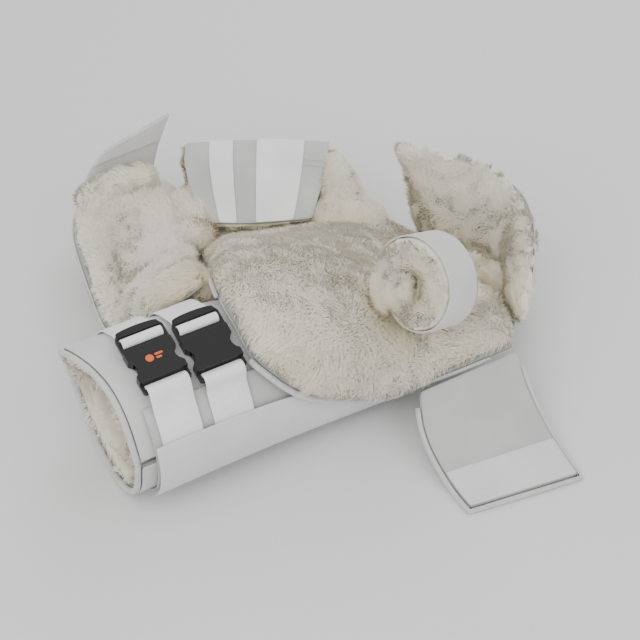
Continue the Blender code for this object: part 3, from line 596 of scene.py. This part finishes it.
# layer, front, swell forwards and sideways in mm, voxel in mm, locks, combing, pieces
FLEECE_PLAN = [
    ("chest", (0, 0, 1), 3.0, 0.5, 6.0, 39000, (-0.5, -0.6, -0.2), 3),
    ("left_wing", (0, 0, 1), 4.0, 9.0, 6.0, 39000, (-0.4, 0.2, -0.3), 1),
    ("right_wing", (-0.8, -0.5, 0), 3.0, 10.0, 6.0, 39000, (-0.1, -0.2, 0.6), 1),
    ("back_panel", (0, 0, 1), 5.0, 9.0, 6.0, 26000, (0.3, 0.2, 0.3), 1),
    ("back_flap", (0, 0, -1), 3.0, 6.0, 6.0, 26000, (0.1, -0.5, -0.4), 1),
    ("rolled_strap", ROLL_FRONT, 4.5, 0.5, 5.0, 36000, (-0.2, -0.2, 0.5), 1),
    ("sleeve", MOUTH_FRONT, 2.5, -1.5, 5.0, 20000, (-0.8, -0.5, 0.0), 1),
    ("liner", MOUTH_FRONT, 2.0, 0.5, 5.0, 30000, (-0.8, -0.5, 0.0), 1),
]
TUFTS = {
    "left_wing": [
        ((-0.123, -0.022, 0.111), 0.020),
        ((-0.120, -0.040, 0.134), 0.013),
        ((-0.146, 0.150, 0.050), 0.021),
        ((-0.150, 0.180, 0.055), 0.021),
        ((-0.155, 0.205, 0.062), 0.018),
        ((-0.282, 0.190, 0.084), 0.014),
        ((-0.262, 0.204, 0.088), 0.014),
        ((-0.240, 0.214, 0.090), 0.014),
        ((-0.218, 0.224, 0.088), 0.014),
    ],
    "right_wing": [
        ((0.202, 0.085, 0.056), 0.015),
        ((0.216, 0.070, 0.056), 0.015),
        ((0.229, 0.053, 0.056), 0.014),
        ((0.258, 0.095, 0.112), 0.012),
        ((0.258, 0.070, 0.104), 0.013),
        ((0.255, 0.044, 0.096), 0.013),
    ],
    "back_panel": [
        ((0.024, 0.240, 0.092), 0.015),
        ((0.032, 0.222, 0.084), 0.018),
        ((0.040, 0.206, 0.070), 0.021),
        ((0.050, 0.192, 0.056), 0.021),
        ((0.070, 0.188, 0.048), 0.019),
        ((0.026, 0.184, 0.056), 0.020),
    ],
}
locks = 0
for layer, front, bulge, spread, voxel, count, combed, pieces in FLEECE_PLAN:
    backing = [n for n in (f"{layer}_shell", f"{layer}_foam") if n in nodes]
    if layer == "sleeve":
        backing = SLEEVE_BACKING
    pressed = PUFF_PRESSURE if layer in PUFFED_LAYERS else 0.0
    fleece_pad = pad(
        f"{layer}_fleece", backing, front, bulge * MM, spread * MM, voxel * MM, pressed,
        TUFTS.get(layer, ()),
    )
    for seed in range(1, pieces + 1):
        grow_wool(fleece_pad, count, LOCK_LENGTH, combed, backing, seed)
        locks += count
print(locks, "locks of wool")

# %% [markdown]
# ## Outer fabrics, tapes and webbing
#
# The thin layers are rounded CAD sheets. An upper web runs between the sleeve and its
# buckle's insert, so it is left attached to neither body.

# %% Shells and tapes
WING_FOAM_KEEP = 0.965  # the wings' foams are drawn in, so that the pile hides their edges


def as_sheet(piece):
    """Measures the sides of a piece's mesh, and does nothing more with them."""
    sides = sorted(np.ptp(coordinates(piece.data), axis=0).tolist())


DRAWN_IN = {"left_wing_shell": 0.975, "right_wing_shell": 0.97, "back_panel_shell": 0.97}
SHELLS = {
    "sleeve_shell": "stretched", "liner_shell": "stretched", "chest_shell": "stretched",
    "left_wing_shell": "stretched", "right_wing_shell": "stretched",
    "back_panel_shell": "stretched", "rolled_strap_shell": "stretched",
    "left_flap_shell": "folded", "right_flap_backing": "stretched",
}
for node_name, held in SHELLS.items():
    piece = cloth(
        node_name, coated_nylon, wrinkle=0.5 * MM, size=0.05,
        keep=DRAWN_IN.get(node_name, 1.0),
    )
    as_sheet(piece)
LOOP_SHEETS = {
    "sleeve_loop_panel": "sleeve_shell", "right_flap_loop_panel": "right_flap_foam",
    "back_flap_shell": "back_flap_foam",
}
for node_name, backing in LOOP_SHEETS.items():
    piece = cloth(node_name, loop_fabric, wrinkle=0.35 * MM, size=0.035)
    as_sheet(piece)
for node_name in (
    "sleeve_mouth_binding", "chest_binding", "closing_band_rim", "flap_seam_tape",
    "left_wing_seam", "right_wing_seam", "back_panel_seam", "right_flap_binding",
):
    cloth(node_name, binding_cloth, wrinkle=0.15 * MM, size=0.008, levels=1)
for node_name in ("closing_hook_band", "right_flap_hook_band", "left_flap_hook_band"):
    cloth(node_name, hook_tape, wrinkle=0.2 * MM, size=0.04)
for node_name in sorted(nodes):
    if node_name.endswith("_foam"):
        drawn_in = WING_FOAM_KEEP if "wing" in node_name else 1.0
        cloth(node_name, foam_rubber, levels=1, keep=drawn_in)
for node_name in ("lower_web_1", "lower_web_2"):
    cloth(node_name, webbing)
# each upper web runs from its sewn end on the sleeve's back to the buckle's insert
UPPER_WEBS = {
    1: ((-0.2135, -0.1094, 0.1305), (-0.1811, -0.1642, 0.1836)),
    2: ((-0.1607, -0.0797, 0.1281), (-0.1246, -0.1408, 0.1819)),
}
for number, (sewn, held_end) in UPPER_WEBS.items():
    web = cloth(f"upper_web_{number}", webbing, crosses=True)
    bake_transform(web)
for node_name in ("back_flap_web_1", "back_flap_web_2"):
    cloth(node_name, flap_webbing)

print(len(SHELLS) + len(LOOP_SHEETS), "cloth sheets and", len(UPPER_WEBS), "bending straps")

# %% [markdown]
# The buckles keep their exact CAD shapes and get the moulded plastic.

# %% Buckles
for node_name, node in nodes.items():
    if node_name.startswith("buckle_"):
        node.data.materials.clear()
        node.data.materials.append(acetal)
print("buckles dressed")

# %% [markdown]
# The first buckle has a small printed sign. Here it is a plain dot with two bars.

# %% Print on the buckle
FACE = Vector((-0.15794, -0.20339, 0.18358))
FACE_RIGHT = Vector((0.86093, 0.50873, 0.0))
FACE_UP = Vector((-0.49569, 0.83886, 0.22495))
FACE_OUT = Vector((0.11444, -0.19367, 0.97437))


def plain(name, colour, roughness):
    """One even colour."""
    made, _, shader = new_material(name, roughness)
    shader.inputs["Base Color"].default_value = linear(colour)
    return made


def on_face(work, outline):
    """A flat patch 0.15 mm above the buckle's face, from points in mm."""
    corners = []
    for height in (0.02 * MM, 0.17 * MM):
        corners.append([
            work.verts.new(FACE + FACE_RIGHT * (x * MM) + FACE_UP * (y * MM) + FACE_OUT * height)
            for x, y in outline
        ])
    work.faces.new(corners[1])
    work.faces.new(corners[0][::-1])
    for i in range(len(outline)):
        j = (i + 1) % len(outline)
        work.faces.new((corners[0][i], corners[0][j], corners[1][j], corners[1][i]))


def rounded_bar(x, y, width, height, steps=6):
    """The outline of a bar with round corners."""
    corner = min(width, height) * 0.35
    outline = []
    for quarter, (cx, cy) in enumerate(((1, 1), (-1, 1), (-1, -1), (1, -1))):
        for k in range(steps + 1):
            turn = np.pi / 2 * (quarter + k / steps)
            outline.append((
                x + cx * (width / 2 - corner) + corner * np.cos(turn),
                y + cy * (height / 2 - corner) + corner * np.sin(turn),
            ))
    return outline


work = bmesh.new()
DOT_X, DOT_RADIUS = -5, 4.4
around = np.linspace(0, 2 * np.pi, 40)[:-1]
on_face(work, [(DOT_X + DOT_RADIUS * np.cos(a), DOT_RADIUS * np.sin(a)) for a in around])
on_face(work, rounded_bar(6.0, 2.2, 9.0, 2.6))
on_face(work, rounded_bar(4.6, -2.2, 6.2, 2.6))
print_mesh = bpy.data.meshes.new("buckle_1_print")
work.to_mesh(print_mesh)
work.free()
ink = plain("printed ink, orange", "d8622c", 0.5)
show("buckle_1_print", print_mesh, ink, "body", None)
print("print laid on the first buckle")

# %% [markdown]
# Stitches are short dashes of thread, laid on the cloth by casting rays at it.

# %% Stitches
dark_thread = plain("polyester thread, dark grey", "4b4c4a", 0.7)


def stitches(name, host_name, route, toward, body, surface, pitch=3.6 * MM):
    """A row of stitches along a route of points, cast along toward onto one piece."""
    host = bpy.data.objects[host_name].data
    skin = BVHTree.FromPolygons(
        [v.co.copy() for v in host.vertices], [p.vertices[:] for p in host.polygons]
    )
    toward = Vector(toward).normalized()
    work = bmesh.new()
    laid = []
    for start, end in zip(route, route[1:]):
        start, end = Vector(start), Vector(end)
        count = max(2, round((end - start).length / pitch))
        for k in range(count):
            spot, normal, _, _ = skin.ray_cast(start.lerp(end, k / count) - toward * 0.04, toward)
            if spot is not None:
                laid.append((spot, -normal if normal.dot(toward) > 0 else normal))
    for (here, up), (there, _) in zip(laid, laid[1:]):
        run = there - here
        if run.length > 2.2 * pitch:
            continue
        along = run.normalized()
        across = along.cross(up).normalized()
        turn = Matrix((along, across, up)).transposed().to_4x4()
        place = Matrix.Translation((here + there) / 2 + up * 0.1 * MM) @ turn
        size = Matrix.Diagonal((pitch * 0.36, 0.32 * MM, 0.22 * MM, 1.0))
        bmesh.ops.create_icosphere(work, subdivisions=1, radius=1.0, matrix=place @ size)
    mesh = bpy.data.meshes.new(name)
    work.to_mesh(mesh)
    work.free()
    mesh.shade_smooth()
    return show(name, mesh, surface, body, None)


STITCH_DEPTHS = (0.030, 0.038)  # each row's distance from the flap's far edge
_, flap_far_corner = (Vector(c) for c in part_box("back_flap_shell"))
for row, depth in enumerate(STITCH_DEPTHS, 1):
    y = flap_far_corner.y - depth
    run = [(-0.045, y, 0.12), (0.020, y - 0.004, 0.12)]
    sewn_row = stitches(
        f"back_flap_stitches_{row}", "back_flap_shell_cloth", run, (0, 0.3, -1),
        "back_flap", dark_thread, 3.0 * MM,
    )
    print(sewn_row.name, "has", len(sewn_row.data.polygons), "faces")

# %% [markdown]
# ## Stage, light and camera
#
# A pale floor, an even white sky and three large soft lamps.

# %% Stage
bpy.ops.mesh.primitive_plane_add(size=12.0, location=(0, 0, 0))
floor = bpy.context.object
floor.name = "floor"
floor_material, _, floor_shader = new_material("pale floor", 0.9)
floor_shader.inputs["Base Color"].default_value = linear("dedede")
floor.data.materials.append(floor_material)

world = bpy.data.worlds.new("studio")
world.use_nodes = True
world.node_tree.nodes["Background"].inputs["Color"].default_value = (1.0, 1.0, 1.0, 1.0)
world.node_tree.nodes["Background"].inputs["Strength"].default_value = 0.9
bpy.context.scene.world = world


def soft_light(name, place, size, power):
    """A large square lamp that faces the object."""
    lamp = bpy.data.lights.new(name, "AREA")
    lamp.size = size
    lamp.energy = power
    holder = bpy.data.objects.new(name, lamp)
    holder.location = place
    aim = Vector((0, 0, 0.08)) - Vector(place)
    holder.rotation_mode = "QUATERNION"
    holder.rotation_quaternion = aim.to_track_quat("-Z", "Y")
    bpy.context.scene.collection.objects.link(holder)


soft_light("key", (-0.6, -1.2, 1.6), 1.7, 24.0)
soft_light("fill", (1.4, -0.9, 1.2), 1.6, 9.0)
soft_light("back", (0.3, 1.5, 1.3), 1.2, 10.0)

# %% Camera
camera = bpy.data.objects.new("camera", bpy.data.cameras.new("camera"))
bpy.context.scene.collection.objects.link(camera)
camera.data.sensor_width = 36.0
camera.data.lens = 77.6
elevation = np.radians(43.0)
target = Vector((0.0114, -0.0382, 0.0803))
distance = 1.6
camera.location = target + Vector((0, -np.cos(elevation), np.sin(elevation))) * distance
camera.rotation_mode = "QUATERNION"
camera.rotation_quaternion = (target - camera.location).to_track_quat("-Z", "Y")
camera.data.clip_start = 0.05
bpy.context.scene.camera = camera
